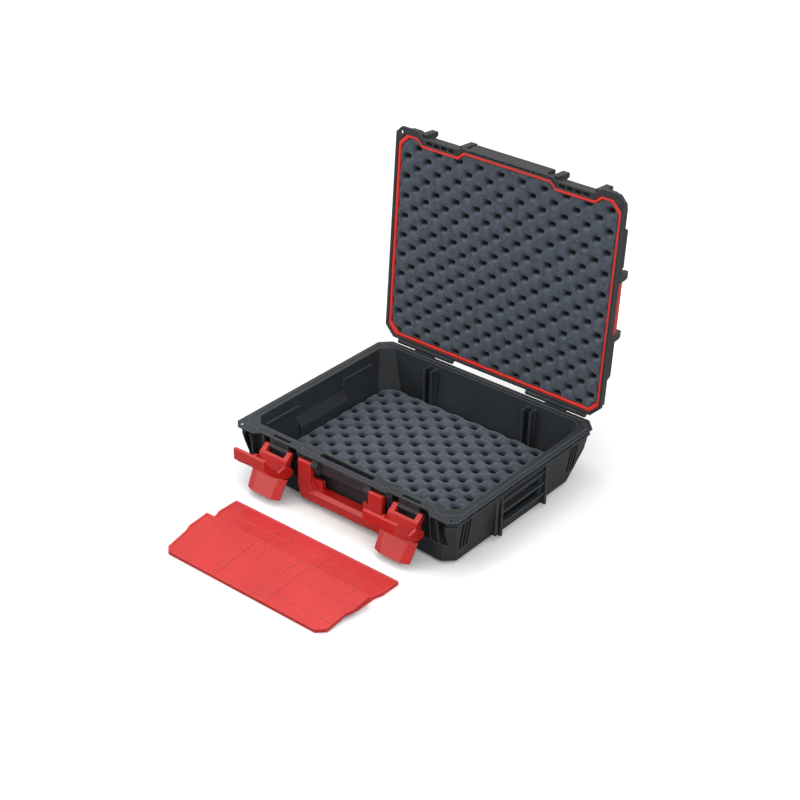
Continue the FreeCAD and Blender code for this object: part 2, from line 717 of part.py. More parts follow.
# Ledges and posts of the side bays, skids and feet, inner ledges and divider channels.
foot_places = ((-pad_y, pad_long - pad_y), (pad_y - pad_long, pad_y))
inner_places = ((-bay_front - 66, -bay_front + 4), (bay_back + 4, bay_back + 72))
for side, sign in (("right", 1), ("left", -1)):
    for number in range(3):
        level = rim - lip_low - 12 - number * 19
        base.add(side + "_ledge" + str(number), "XZ_Plane", -bay_back - 1,
                 box_corners(sign * (bay_out - 3), sign * ledge_out, level - ledge_thick, level),
                 bay_front + bay_back + 2)
    for number, place in enumerate((-bay_front - 2, bay_back + 2)):
        base.add(side + "_post" + str(number), "YZ_Plane", sign * (half - foot_in - 3),
                 box_corners(place - 2, place + 2, floor_gap, rim - lip_low), foot_in + 3 - 2.5,
                 back=(sign < 0))
    base.add(side + "_bay_rib", "YZ_Plane", sign * (half - foot_in - 3),
             box_corners(-bay_front - 16, -bay_front - 11, floor_gap + 6, wall_top), foot_in + 3 - 3.2,
             back=(sign < 0))
    base.add(side + "_skid", "XY_Plane", 0,
             box_corners(sign * (half - skid_in), sign * (half - foot_in - 0.5), -bay_front, bay_back + 9),
             floor_gap + 1)
    for number, (front, back) in enumerate(foot_places):
        base.add(side + "_foot" + str(number), "XY_Plane", 0,
                 box_corners(sign * pad_x, sign * (pad_x + pad_wide), front, back), floor_gap + 1)
    for number, (front, back) in enumerate(inner_places):
        base.add(side + "_inner_ledge" + str(number), "YZ_Plane", sign * (room_half + 1),
                 [(front, rim - 27), (back, rim - 27), (back, rim - 17), (front, rim - 17)],
                 5.5, back=(sign > 0))
    for number, place in enumerate((89, 103)):
        base.add(side + "_channel" + str(number), "XY_Plane", room_floor - 1,
                 box_corners(sign * (place - 1.5), sign * (place + 1.5), room_back - 15, room_back + 2),
                 rim - room_floor - 6)

base.add("middle_pad", "XY_Plane", 0, box_corners(-pad_half, pad_half, -pad_deep, pad_deep), floor_gap + 1)

# Latch seats, handle lugs, the tongue that meets the seal and the base's hinge knuckles.
base.ring("tongue", rim - 0.5, seal_outline(tongue_wide / 2), seal_outline(-tongue_wide / 2),
          tongue_high + 0.5)
for side, sign in (("right", 1), ("left", -1)):
    middle = sign * latch_x
    base.add(side + "_seat", "YZ_Plane", middle - pocket_in,
             [(-lever_y, rim - lever_z - lever_r), (-lever_y, rim - plate / 2),
              (-rim_slot_far - 0.7, rim - plate / 2), (-rim_slot_far - 0.7, rim - rim_slot_deep - 1.5),
              (-lever_y + 8.5, rim - rim_slot_deep - 1.5), (-lever_y + 8.5, rim - lever_z - lever_r)],
             2 * pocket_in)
    base.add_round(side + "_seat_round", "YZ_Plane", middle - pocket_in,
                   (-lever_y, rim - lever_z), lever_r, 2 * pocket_in)
    base.cut_round(side + "_lever_bore", "YZ_Plane", middle + pocket_in + 1,
                   (-lever_y, rim - lever_z), latch_pin_r + running, 2 * pocket_in + 2)
    inner = handle_in - side_play - lug_wide
    base.add(side + "_lug", "YZ_Plane", sign * inner,
             [(-handle_y, rim - handle_z - 4), (-handle_y, rim - handle_z + 4),
              (-handle_y + 2, rim - plate / 2), (-slot_far - 0.8, rim - plate / 2),
              (-slot_far - 0.8, rim - handle_z - 16), (-slot_far - 3, rim - handle_z - 16)],
             lug_wide, back=(sign < 0))
    base.add_round(side + "_lug_round", "YZ_Plane", sign * inner,
                   (-handle_y, rim - handle_z), 4, lug_wide, back=(sign < 0))
    base.cut_round(side + "_lug_bore", "YZ_Plane", sign * (inner + lug_wide),
                   (-handle_y, rim - handle_z), handle_pin_r, lug_wide, back=(sign < 0))
    middle_low = sign * (knuckle_one + side_play)
    middle_long = knuckle_two - knuckle_one - 2 * side_play
    base.add(side + "_hinge_web", "YZ_Plane", middle_low,
             [(back_edge - groove_in - 0.5, rim - groove_low + 1.5),
              (back_edge - groove_in - 0.5, rim - 0.4), (back_edge + 0.6, rim - 0.4),
              (hinge_y - 2, hinge_z), (hinge_y + knuckle_r, hinge_z), (hinge_y + knuckle_r, rim - 2)],
             middle_long, back=(sign < 0))
    base.add_round(side + "_hinge_knuckle", "YZ_Plane", middle_low,
                   (hinge_y, hinge_z), knuckle_r, middle_long, back=(sign < 0))
    base.cut_round(side + "_hinge_bore", "YZ_Plane", sign * knuckle_two,
                   (hinge_y, hinge_z), hinge_pin_r + running, knuckle_two - knuckle_one, back=(sign < 0))
base.settle("details_step", last=True)


# Lid shell, drawn closed on the base and then swung open.
lid = Moulding("lid_shell")
lid.add("lid_flange", "XY_Plane", rim,
        case_outline(as_size(0), bay_step, centre_step, front_cut, back_cut), lid_edge)
upright = rim + seal_deep + groove_roof
lid.add("lid_band", "XY_Plane", rim + lid_edge,
        case_outline(lid_wall, bay_step, centre_step, front_cut, back_cut), upright - rim - lid_edge)
lid.loft("lid_tub", upright,
         case_outline(lid_wall, bay_step, centre_step, front_cut, back_cut),
         top, case_outline(lid_top_in, low_bay, low_centre, front_cut, back_cut))
lid.cut("lid_room", "XY_Plane", rim,
        seal_outline(-(seal_wide / 2 + soft_gap + lid_rib)), lid_high - lid_skin, back=True)
lid.ring("lid_groove", rim, seal_outline(seal_wide / 2 + soft_gap),
         seal_outline(-(seal_wide / 2 + soft_gap)), seal_deep, hollow=True)
lid.cut("lid_mouth", "XY_Plane", rim, seal_outline(-(seal_wide / 2 + soft_gap) + 0.3), lid_rib_low,
        back=True)
lid.settle("lid_tub_step")
lid_face = half - rail_in
pocket_rib = 1.6
for side, sign in (("right", 1), ("left", -1)):
    for number, (front, back) in enumerate(((flap_mid - flap_half - clip_long - 4 - rail_long,
                                             flap_mid - flap_half - clip_long - 4),
                                            (flap_mid + flap_half + clip_long + 4,
                                             flap_mid + flap_half + clip_long + 4 + rail_long))):
        lid.add(side + "_rail" + str(number), "YZ_Plane", sign * (lid_face - rail_wide),
                [(front - 5, top - 1), (front, top + rail_high - 3), (front + 3, top + rail_high),
                 (back - 3, top + rail_high), (back, top + rail_high - 3), (back + 5, top - 1)],
                rail_wide, back=(sign < 0))
    lid.cut(side + "_flap_seat", "YZ_Plane", sign * (half + 1),
            box_corners(flap_mid - flap_half - side_play, flap_mid + flap_half + side_play,
                        upright, top + 1),
            rail_in - 0.5, back=(sign < 0))
    for number, hand in enumerate((-1, 1)):
        near = flap_mid + hand * (flap_half + side_play)
        lid.add(side + "_clip" + str(number), "XZ_Plane", -near,
                [(sign * (lid_face - 4), top - 1), (sign * lid_face, top - 4),
                 (sign * (lid_face + 2), upright + 0.5), (sign * (half - 3), upright + 0.5),
                 (sign * (half - 2), upright + 3), (sign * (half - 3.5), top + 8),
                 (sign * (half - 6), top + clip_high), (sign * (lid_face - 2), top + clip_high),
                 (sign * (lid_face - 4), top + clip_high - 3)], clip_long, back=(hand > 0))
        lid.cut_round(side + "_flap_bore" + str(number), "XZ_Plane", -(near - hand),
                      (sign * (half - flap_axis_in), top + flap_axis_up), flap_pin_r,
                      flap_pin_out + 1, back=(hand < 0))
    for number, middle in enumerate((latch_x - bay_half - 4, latch_x + bay_half + 2)):
        lid.add(side + "_ear" + str(number), "YZ_Plane", sign * (middle - ear_wide / 2),
                [(-ear_out, rim + lid_edge + 1), (-ear_out, top + 9), (-ear_out + 2, top + 12),
                 (-ear_out + 8, top + 12), (-ear_out + 13, top - 2), (-ear_out + 13, upright),
                 (-ear_out + 5, upright), (-ear_out + 5, rim + lid_edge + 1)],
                ear_wide, back=(sign < 0))
    for number in range(4):
        start = latch_x + (number - 2) * (pocket_long + pocket_rib)
        lid.cut(side + "_edge_pocket" + str(number), "XY_Plane", rim,
                box_corners(sign * start, sign * (start + pocket_long), -pocket_far, -pocket_near),
                pocket_deep, back=True)
    for number in range(3):
        start = 1.2 + number * (edge_long + pocket_rib)
        lid.cut(side + "_front_pocket" + str(number), "XY_Plane", rim,
                box_corners(sign * start, sign * (start + edge_long), -edge_far, -edge_near),
                edge_deep, back=True)
    lid.cut(side + "_corner_clear", "XY_Plane", rim + lid_edge - 1, open_corner(sign),
            lid_high - lid_edge + 2, back=True)
    lid.cut(side + "_keeper_chamfer", "YZ_Plane", sign * (latch_x - bay_half + 2),
            [(-ear_out - 1, top - 6), (-keeper_low, top - 6), (-keeper_low, top - 1.5),
             (-keeper_high, top + 0.01), (-keeper_high, top + 1), (-ear_out - 1, top + 1)],
            2 * bay_half - 6, back=(sign > 0))
lid.add("front_rail", "YZ_Plane", -front_rail_half,
        [(front_edge + 5.5, rim + lid_edge), (front_edge + 3, rim + lid_edge + 4), (front_edge + 3, top + 1),
         (front_edge + 5, top + 3), (front_edge + 9.5, top + 3), (front_edge + 13, top - 2),
         (front_edge + 13, upright), (front_edge + 9, upright)], 2 * front_rail_half)
for side, sign in (("right", 1), ("left", -1)):
    lid.cut_round(side + "_lid_notch", "YZ_Plane", sign * knuckle_two,
                  (hinge_y, hinge_z), knuckle_r + 2 * side_play, knuckle_two - knuckle_one, back=(sign < 0))
    for number, (start, stop) in enumerate(((knuckle_in, knuckle_one - 0.1),
                                            (knuckle_two + 0.1, knuckle_out))):
        lid.add(side + "_lid_web" + str(number), "YZ_Plane", sign * start,
                [(back_edge - 3, rim + 0.4), (back_edge - 3, rim + 10),
                 (hinge_y + 1, hinge_z + knuckle_r - 0.1), (hinge_y + 1, hinge_z),
                 (back_edge, hinge_z - 1), (back_edge - 0.6, rim + 0.4)],
                stop - start, back=(sign < 0))
        lid.add_round(side + "_lid_knuckle" + str(number), "YZ_Plane", sign * start,
                      (hinge_y, hinge_z), knuckle_r, stop - start, back=(sign < 0))
        lid.cut_round(side + "_lid_bore" + str(number), "YZ_Plane", sign * stop,
                      (hinge_y, hinge_z), hinge_pin_r + running, stop - start, back=(sign < 0))
    lid.cut_round(side + "_lid_eyelet", "XY_Plane", rim - 1,
                  (sign * (half - eyelet_in), front_edge + eyelet_back), eyelet_r, 40, back=True)
lid_shell = lid.settle("lid_details_step", last=True)
place_on_lid(lid_shell)

# Seal in the lid's groove.
seal = sub_part("lid_seal")
ring = drawing(seal, "seal_ring", "XY_Plane", rim + seal_deep - seal_thick)
draw_outline(ring, seal_outline(seal_wide / 2))
draw_outline(ring, seal_outline(-seal_wide / 2))
feature(seal, "Pad", ring, seal_thick, False)
place_on_lid(seal)

# Foam pads: one glued inside the lid, one loose on the floor of the base.
lid_foam = sub_part("lid_foam")
add(lid_foam, "lid_foam_outline", "XY_Plane", top - lid_skin - lid_foam_thick,
    seal_outline(-(seal_wide / 2 + 2 * soft_gap + lid_rib + 0.6)), lid_foam_thick - soft_gap)
add(lid_foam, "lid_foam_brim", "XY_Plane", top - lid_skin - lid_foam_thick,
    seal_outline(-(seal_wide / 2 + 1.5 * soft_gap)), lid_foam_edge)
place_on_lid(lid_foam)
base_foam = sub_part("base_foam")
add(base_foam, "base_foam_outline", "XY_Plane", room_floor + 0.3,
    mirrored([(foam_side - foam_cut, -foam_front), (foam_side, -foam_front + foam_cut),
              (foam_side, foam_back - foam_cut_back), (foam_side - foam_cut_back, foam_back)]),
    foam_thick - 0.3)

# Stacking flaps on the lid's sides, each on a pin between two clip blocks.
for side, sign in (("right", 1), ("left", -1)):
    flap = sub_part("stack_flap_" + side)
    axis_x = half - flap_axis_in
    axis_z = top + flap_axis_up
    low = upright + 1
    add(flap, "flap_plate", "XZ_Plane", -(flap_mid + flap_half),
        [(sign * (axis_x - 1.6), axis_z), (sign * (axis_x - 0.1), low + 2), (sign * (axis_x + 0.9), low),
         (sign * (axis_x + 3.5), low), (sign * (axis_x + 4.1), low + 3), (sign * (axis_x + 2.4), axis_z + 2),
         (sign * (axis_x - 1), axis_z + 2.4)], 2 * flap_half)
    add_round(flap, "flap_round", "XZ_Plane", -(flap_mid + flap_half),
              (sign * axis_x, axis_z), 2.6, 2 * flap_half)
    for number, start in enumerate((flap_mid + flap_half, flap_mid - flap_half + flap_pin_in)):
        cut_round(flap, "flap_hole" + str(number), "XZ_Plane", -(start - flap_pin_in),
                  (sign * axis_x, axis_z), flap_pin_r + running, flap_pin_in, back=False)
    place_on_lid(flap)
    for number, (hand, word) in enumerate(((-1, "front"), (1, "back"))):
        pin = sub_part("flap_pin_" + side + "_" + word)
        end = flap_mid + hand * flap_half
        add_round(pin, "flap_pin_round", "XZ_Plane", -(end - hand * flap_pin_in), (sign * axis_x, axis_z),
                  flap_pin_r, flap_pin_in + side_play + flap_pin_out - 0.5, back=(hand > 0))
        place_on_lid(pin)


def straight_pin(label, start, centre, radius, length):
    """A steel pin along the case's width."""
    made = doc.addObject("Part::Cylinder", label)
    made.Label = label
    finished.append(made)
    made.Placement = FreeCAD.Placement(Vector(), FreeCAD.Rotation(Vector(0, 1, 0), 90))
    for name, size in (("Radius", radius), ("Height", length), ("Placement.Base.x", start),
                       ("Placement.Base.y", centre[0]), ("Placement.Base.z", centre[1])):
        made.setExpression(name, as_size(size).text)
    return made


# Handle: two arms and a grip bar, which hangs in front of the base on two pins.
handle = sub_part("handle")
arm_top = rim - handle_z
handle_rear = -handle_y + handle_thick / 2
grip_front = -handle_y - handle_thick / 2 - grip_out
grip_rear = grip_front + grip_thick
bar_low_edge = rim - handle_low
bar_high_edge = rim - bar_top
add(handle, "handle_frame", "XZ_Plane", handle_y - handle_thick / 2,
    mirrored([(handle_in - 6, bar_high_edge - 3), (handle_in, bar_high_edge + 8), (handle_in, arm_top),
              (handle_half, arm_top), (handle_half, bar_low_edge + 19.5),
              (handle_half - 6, bar_low_edge + 1)]),
    handle_thick)
add(handle, "handle_grip", "YZ_Plane", -(handle_in + 1),
    [(grip_rear, bar_low_edge + 9), (grip_rear, bar_high_edge - 2), (grip_rear - 2, bar_high_edge),
     (grip_front + 4.7, bar_high_edge), (grip_front, bar_high_edge - 4.7),
     (grip_front, bar_low_edge + 3), (grip_front + 3, bar_low_edge), (grip_rear - 7, bar_low_edge)],
    2 * (handle_in + 1))
for side, sign in (("right", 1), ("left", -1)):
    arm_long = handle_half - handle_in
    add(handle, side + "_guard", "YZ_Plane", sign * (handle_in - guard_wide),
        [(handle_rear - 0.5, bar_high_edge - 2), (handle_rear - 0.5, bar_high_edge + guard_high),
         (handle_rear + guard_deep - 2, bar_high_edge + guard_high),
         (handle_rear + guard_deep, bar_high_edge + guard_high - 2),
         (handle_rear + guard_deep, bar_high_edge - 2)], guard_wide + 0.5, back=(sign < 0))
    add_round(handle, side + "_arm_round", "YZ_Plane", sign * handle_in,
              (-handle_y, arm_top), handle_thick / 2, arm_long, back=(sign < 0))
    cut_round(handle, side + "_arm_bore", "YZ_Plane", sign * (handle_in + arm_long * 0.7),
              (-handle_y, arm_top), handle_pin_r + running, arm_long * 0.7, back=(sign < 0))
    pin_long = lug_wide + side_play + arm_long * 0.7 - 1
    pin_start = handle_in - side_play - lug_wide
    if sign < 0:
        pin_start = -(pin_start + pin_long)
    straight_pin("handle_pin_" + side, pin_start, (-handle_y, arm_top), handle_pin_r, pin_long)

# Hinge pins.
for side, sign in (("right", 1), ("left", -1)):
    pin_start = knuckle_in + 1 if sign > 0 else -(knuckle_out - 1)
    straight_pin("hinge_pin_" + side, pin_start, (hinge_y, hinge_z), hinge_pin_r,
                 knuckle_out - knuckle_in - 2)

# Latches: a lever with two arms and a bulging plate, and a hook frame that turns on it.
axis_y = -lever_y
axis_z = rim - lever_z
hook_y = axis_y - hook_dy
hook_z = axis_z - hook_dz
for side, sign in (("right", 1), ("left", -1)):
    middle = sign * latch_x
    lever = sub_part("latch_lever_" + side)
    arm = lever_out - lever_in
    for number, start in enumerate((middle + lever_in, middle - lever_out)):
        add(lever, "lever_arm" + str(number), "YZ_Plane", start,
            [(axis_y + 1, axis_z + lever_r - 0.2), (axis_y - 4.5, axis_z + 0.8), (axis_y - 12.5, axis_z - 6),
             (axis_y - 20, axis_z - 31), (axis_y - 12, hook_z - 5.5), (hook_y + 4, hook_z - 3.5),
             (hook_y + 4.2, hook_z + 3), (axis_y - 5, axis_z - 12), (axis_y + 3, axis_z - 3.2)], arm)
        add_round(lever, "lever_knuckle" + str(number), "YZ_Plane", start,
                  (axis_y, axis_z), lever_r, arm)
    add(lever, "lever_bridge", "YZ_Plane", middle - lever_out,
        [(axis_y - 10.5, axis_z - 3.5), (axis_y - 13.5, axis_z - 5.5), (axis_y - 25, rim - 50),
         (axis_y - 21.5, rim - 51.5), (axis_y - 9, axis_z - 7.5)], 2 * lever_out)
    up_y = -(lever_far - 15.5)
    loft(lever, "AdditiveLoft", "lever_plate", rim - lever_low,
         [(middle - lever_half + 2, -lever_far), (middle - lever_half * 0.55, -lever_far - lever_bulge),
          (middle + lever_half * 0.55, -lever_far - lever_bulge), (middle + lever_half - 2, -lever_far),
          (middle + lever_half - 2, -lever_far + lever_thick),
          (middle + lever_half * 0.55, -lever_far - lever_bulge + lever_thick),
          (middle - lever_half * 0.55, -lever_far - lever_bulge + lever_thick),
          (middle - lever_half + 2, -lever_far + lever_thick)],
         rim - 46.5,
         [(middle - lever_half, up_y), (middle - lever_half * 0.6, up_y - 3.5),
          (middle + lever_half * 0.6, up_y - 3.5), (middle + lever_half, up_y),
          (middle + lever_half, up_y + lever_thick),
          (middle + lever_half * 0.6, up_y - 3.5 + lever_thick + 1),
          (middle - lever_half * 0.6, up_y - 3.5 + lever_thick + 1),
          (middle - lever_half, up_y + lever_thick)])
    cut_round(lever, "lever_bore", "YZ_Plane", middle + lever_out + 1,
              (axis_y, axis_z), latch_pin_r, 2 * lever_out + 2)
    cut_round(lever, "hook_bore", "YZ_Plane", middle + lever_out + 1,
              (hook_y, hook_z), latch_pin_r, 2 * lever_out + 2)

    hook = sub_part("latch_hook_" + side)
    inner = lever_out + side_play
    bar_y = -hook_bar_y
    bar_high = rim + hook_bar_top
    bar_low = rim - hook_bar_low
    for number, start in enumerate((middle + inner, middle - inner - hook_arm)):
        add(hook, "hook_arm" + str(number), "YZ_Plane", start,
            [(hook_y + 3, hook_z - ear_r + 0.5), (hook_y + 4, hook_z + 5), (hook_y - 11, hook_z + 15),
             (hook_y - 25, hook_z + 11.5), (hook_y - 35, hook_z + 23.7), (hook_y - 38.8, hook_z + 27),
             (bar_y + 4.9, bar_high - 5.2), (bar_y + 1, bar_high - 2), (bar_y + 1, bar_low + 1),
             (bar_y + 8, bar_low - 8),
             (hook_y - 30, hook_z + 5), (hook_y - 8, hook_z - ear_r + 0.3)], hook_arm)
        add_round(hook, "hook_ear" + str(number), "YZ_Plane", start, (hook_y, hook_z), ear_r, hook_arm)
    add(hook, "hook_bar", "YZ_Plane", middle - inner - hook_arm,
        [(bar_y, bar_low), (bar_y, bar_high), (bar_y + hook_bar_thick, bar_high),
         (bar_y + hook_bar_thick, bar_low)], 2 * (inner + hook_arm))
    cut_round(hook, "hook_arm_bore", "YZ_Plane", middle + inner + hook_arm + 1,
              (hook_y, hook_z), latch_pin_r + running, 2 * (inner + hook_arm) + 2)

    straight_pin("lever_pin_" + side, middle - lever_out, (axis_y, axis_z), latch_pin_r, 2 * lever_out)
    straight_pin("hook_pin_" + side, middle - inner - hook_arm, (hook_y, hook_z), latch_pin_r,
                 2 * (inner + hook_arm))


def divider(label):
    """A removable divider: a thin web with a deep edge and low ribs, lying on its back."""
    made = sub_part(label)
    left = -div_left
    right = div_right
    step_in = 4

    def edge(inset):
        return [(left + inset, -inset), (right - inset, -inset), (right - inset, -div_wide * 0.36),
                (right - inset - step_in, -div_wide * 0.5), (right - inset - step_in, -div_wide + 11),
                (right - inset - 16, -div_wide + inset), (left + inset + 17, -div_wide + inset),
                (left + inset + step_in + div_skew, -div_wide + 8),
                (left + inset + step_in, -div_wide * 0.49), (left + inset, -div_wide * 0.39)]

    border = drawing(made, "border", "XY_Plane", 0)
    draw_outline(border, edge(as_size(0)))
    feature(made, "Pad", border, div_thick, False)
    inside = drawing(made, "inside", "XY_Plane", div_thick)
    draw_outline(inside, edge(div_rib * 1.6))
    feature(made, "Pocket", inside, div_thick, False)
    web = drawing(made, "web", "XY_Plane", div_thick - 1.2 - div_web)
    draw_outline(web, edge(div_rib))
    feature(made, "Pad", web, div_web, False)
    for number, share in enumerate((0.31, 0.755)):
        line = -div_wide * share
        add(made, "long_rib" + str(number), "XY_Plane", 0,
            box_corners(left + step_in + 5.5, right - step_in - 2, line - div_rib / 2, line + div_rib / 2),
            div_thick)
    for number, share in enumerate((0.33, 0.645)):
        line = left + (right - left) * share
        add(made, "cross_rib" + str(number), "XY_Plane", 0,
            box_corners(line - div_rib / 2, line + div_rib / 2, -div_wide + 1, -1), div_thick)
    for number, place in enumerate((tick_left, tick_right)):
        add(made, "tick" + str(number), "XY_Plane", 0,
            box_corners(place - div_rib / 2, place + div_rib / 2, -tick_long, -1), div_thick)
    for number, (start, stop) in enumerate(((slant_one, slant_one_end), (slant_two, slant_two_end))):
        add(made, "slant" + str(number), "XY_Plane", 0,
            [(start - div_rib / 2, -1), (stop - div_rib / 2, -div_wide * 0.31),
             (stop + div_rib / 2, -div_wide * 0.31), (start + div_rib / 2, -1)], div_thick)
    return made


rear = divider("divider_rear")
rear.setExpression("Placement.Base.y", (-div_far).text)
front = divider("divider_front")
tilt = div_thick / div_reach
lift = div_wide * tilt + 0.02
near_y = -div_far - div_wide - div_reach - 0.4
front.Placement = FreeCAD.Placement(
    Vector(0, 0, 0), FreeCAD.Rotation(Vector(1, 0, 0), math.degrees(math.asin(tilt.value))))
front.setExpression("Placement.Base.y", (near_y + div_wide).text)
front.setExpression("Placement.Base.z", lift.text)

doc.recompute()

for made in doc.Objects:
    if "Invalid" in made.State or "Error" in made.State:
        raise RuntimeError("failed to build: " + made.Label + " " + str(made.State))
for made in finished:
    if made.Shape.isNull() or not made.Shape.isValid() or not made.Shape.Solids:
        raise RuntimeError("no sound shape: " + made.Label)
for made in finished:
    made.Shape.exportStep("parts/" + made.Label + ".step")
    print(made.Label, len(made.Shape.Solids), round(made.Shape.Volume / 1000, 2), "cm3")
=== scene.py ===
import json
import math

import bmesh
import bpy
import numpy as np
from mathutils import Matrix, Vector


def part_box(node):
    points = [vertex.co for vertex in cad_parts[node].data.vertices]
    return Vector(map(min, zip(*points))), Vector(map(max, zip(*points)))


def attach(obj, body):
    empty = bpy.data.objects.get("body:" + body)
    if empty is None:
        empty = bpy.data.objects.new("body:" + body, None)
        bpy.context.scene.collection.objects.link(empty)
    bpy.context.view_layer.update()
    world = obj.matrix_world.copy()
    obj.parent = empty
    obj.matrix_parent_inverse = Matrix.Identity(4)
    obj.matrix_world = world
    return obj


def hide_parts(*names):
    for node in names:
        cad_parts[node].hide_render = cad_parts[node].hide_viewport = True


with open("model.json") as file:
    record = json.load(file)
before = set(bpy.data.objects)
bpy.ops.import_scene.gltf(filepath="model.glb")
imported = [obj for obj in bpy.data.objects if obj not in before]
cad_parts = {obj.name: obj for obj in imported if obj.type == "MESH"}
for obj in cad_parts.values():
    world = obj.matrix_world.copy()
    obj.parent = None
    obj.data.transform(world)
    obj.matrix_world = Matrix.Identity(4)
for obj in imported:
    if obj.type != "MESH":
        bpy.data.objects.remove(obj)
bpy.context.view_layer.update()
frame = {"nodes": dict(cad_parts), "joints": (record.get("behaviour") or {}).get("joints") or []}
nodes = frame["nodes"]
mm = 0.001

# Camera: where the photograph was taken from, 2.6 m away with a long lens, on a square picture.
# The turn, tilt and distance come from fitting the corners of base and lid.
azimuth, elevation, roll = math.radians(39.33), math.radians(30.33), math.radians(0.59)
away, across, above = 2593.68 * mm, -23.82 * mm, 35.32 * mm
rim = 84 * mm
focal_pixels, picture_pixels = 1747.8, 800

back = Vector((math.sin(azimuth) * math.cos(elevation),
               -math.cos(azimuth) * math.cos(elevation), math.sin(elevation)))
level = Vector((math.cos(azimuth), math.sin(azimuth), 0))
upright = back.cross(level)
right = math.cos(roll) * level + math.sin(roll) * upright
up = math.cos(roll) * upright - math.sin(roll) * level
lens = bpy.data.cameras.new("camera")
lens.sensor_width = 36
lens.lens = focal_pixels / picture_pixels * lens.sensor_width
lens.clip_start, lens.clip_end = 0.1, 30
camera = bpy.data.objects.new("camera", lens)
camera.matrix_world = Matrix.Translation(
    across * right + above * up + away * back + Vector((0, 0, rim))
) @ Matrix((right, up, back)).transposed().to_4x4()
bpy.context.scene.collection.objects.link(camera)
bpy.context.scene.camera = camera


def linear(code):
    """An sRGB hex colour as the linear red, green, blue and alpha that the shader wants."""
    parts = [int(code[i:i + 2], 16) / 255 for i in (1, 3, 5)]
    return [c / 12.92 if c <= 0.04045 else ((c + 0.055) / 1.055) ** 2.4 for c in parts] + [1]


def add(tree, kind, inputs=(), **settings):
    """Adds a node of that kind, gives its sockets a value or a link each, and sets the rest."""
    made = tree.nodes.new("ShaderNode" + kind)
    for name, value in settings.items():
        setattr(made, name, value)
    for name, value in dict(inputs).items():
        if isinstance(value, bpy.types.NodeSocket):
            tree.links.new(value, made.inputs[name])
        else:
            made.inputs[name].default_value = value
    return made


def material(name):
    """An empty material with an output, and the shader that feeds it."""
    made = bpy.data.materials.new(name)
    made.use_nodes = True
    made.node_tree.nodes.clear()
    surface = add(made.node_tree, "BsdfPrincipled")
    add(made.node_tree, "OutputMaterial", {"Surface": surface.outputs[0]})
    return made, made.node_tree, surface


def paint_edge_highlights(tree, surface, colour, relief, radius, painted_highlight, highlight_share):
    """Paints highlights on eased edges, a paler colour than the faces where edges catch the light,
    and rounds the edges in the shading. The colour and the relief are the sockets and node that the face itself has."""
    soft = add(tree, "Bevel", {"Radius": radius}, samples=4)
    flat = add(tree, "NewGeometry")
    turn = add(tree, "VectorMath", operation="DOT_PRODUCT")
    tree.links.new(soft.outputs[0], turn.inputs[0])
    tree.links.new(flat.outputs["Normal"], turn.inputs[1])
    edge_highlight = add(tree, "MapRange", {"Value": turn.outputs["Value"], "From Min": 0.995, "From Max": 0.85,
                                  "To Min": 0.0, "To Max": highlight_share})
    tone = add(tree, "Mix", data_type="RGBA")
    tree.links.new(edge_highlight.outputs[0], tone.inputs["Factor"])
    tree.links.new(colour, tone.inputs["A"])
    tone.inputs["B"].default_value = linear(painted_highlight)
    tree.links.new(tone.outputs["Result"], surface.inputs["Base Color"])
    tree.links.new(soft.outputs[0], relief.inputs["Normal"])


# Floor and light: a white sweep of paper that gives little light back to the case, a studio
# ceiling that is brightest overhead, a large softbox at the front left, low enough to shine on
# the latches, a weaker one at the right for the side wall, and a softer one above.
paper, tree, surface = material("matt_white_paper")
surface.inputs["Roughness"].default_value = 0.9
surface.inputs["Specular IOR Level"].default_value = 0.1
grain = add(tree, "TexNoise", {"Scale": 4.0, "Detail": 2.0})
shade = add(tree, "ValToRGB", {"Fac": grain.outputs[0]})
shade.color_ramp.elements[0].color = linear("#fafafa")
shade.color_ramp.elements[1].color = linear("#ffffff")
seen = add(tree, "LightPath").outputs["Is Camera Ray"]
tone = add(tree, "Mix", data_type="RGBA")
tone.inputs["A"].default_value = linear("#a2a2a2")
tree.links.new(seen, tone.inputs["Factor"])
tree.links.new(shade.outputs[0], tone.inputs["B"])
tree.links.new(tone.outputs["Result"], surface.inputs["Base Color"])
sheet = bpy.data.meshes.new("floor")
reach = 14.0
sheet.from_pydata([(-reach, -reach, 0), (reach, -reach, 0), (reach, reach, 0), (-reach, reach, 0)], [],
                  [(0, 1, 2, 3)])
floor = bpy.data.objects.new("floor", sheet)
floor.data.materials.append(paper)
bpy.context.scene.collection.objects.link(floor)

sky = bpy.data.worlds.new("studio")
sky.use_nodes = True
tree = sky.node_tree
direction = add(tree, "SeparateXYZ", {"Vector": add(tree, "TexCoord").outputs["Generated"]})
glow = add(tree, "MapRange", {"Value": direction.outputs["Z"], "From Min": 0.0, "From Max": 1.0,
                              "To Min": 0.36, "To Max": 1.22})
tree.nodes["Background"].inputs["Color"].default_value = linear("#ffffff")
tree.links.new(glow.outputs[0], tree.nodes["Background"].inputs["Strength"])
bpy.context.scene.world = sky
bpy.context.scene.view_settings.view_transform = "Standard"


def softbox(name, place, aim, width, height, power):
    """A lamp of that size in metres, at a place and turned to face a point."""
    lamp = bpy.data.lights.new(name, "AREA")
    lamp.shape = "RECTANGLE"
    lamp.size, lamp.size_y, lamp.energy = width, height, power
    holder = bpy.data.objects.new(name, lamp)
    holder.location = place
    holder.rotation_euler = (Vector(aim) - Vector(place)).to_track_quat("-Z", "Y").to_euler()
    bpy.context.scene.collection.objects.link(holder)


softbox("softbox_left", (-1.9, -1.9, 1.3), (0, 0, 0.1), 1.6, 1.2, 26)
softbox("softbox_right", (2.3, -0.8, 1.3), (0, 0, 0.1), 1.4, 1.2, 22)
softbox("softbox_top", (-0.6, 0.5, 2.6), (0, 0, 0), 1.4, 1.4, 17)


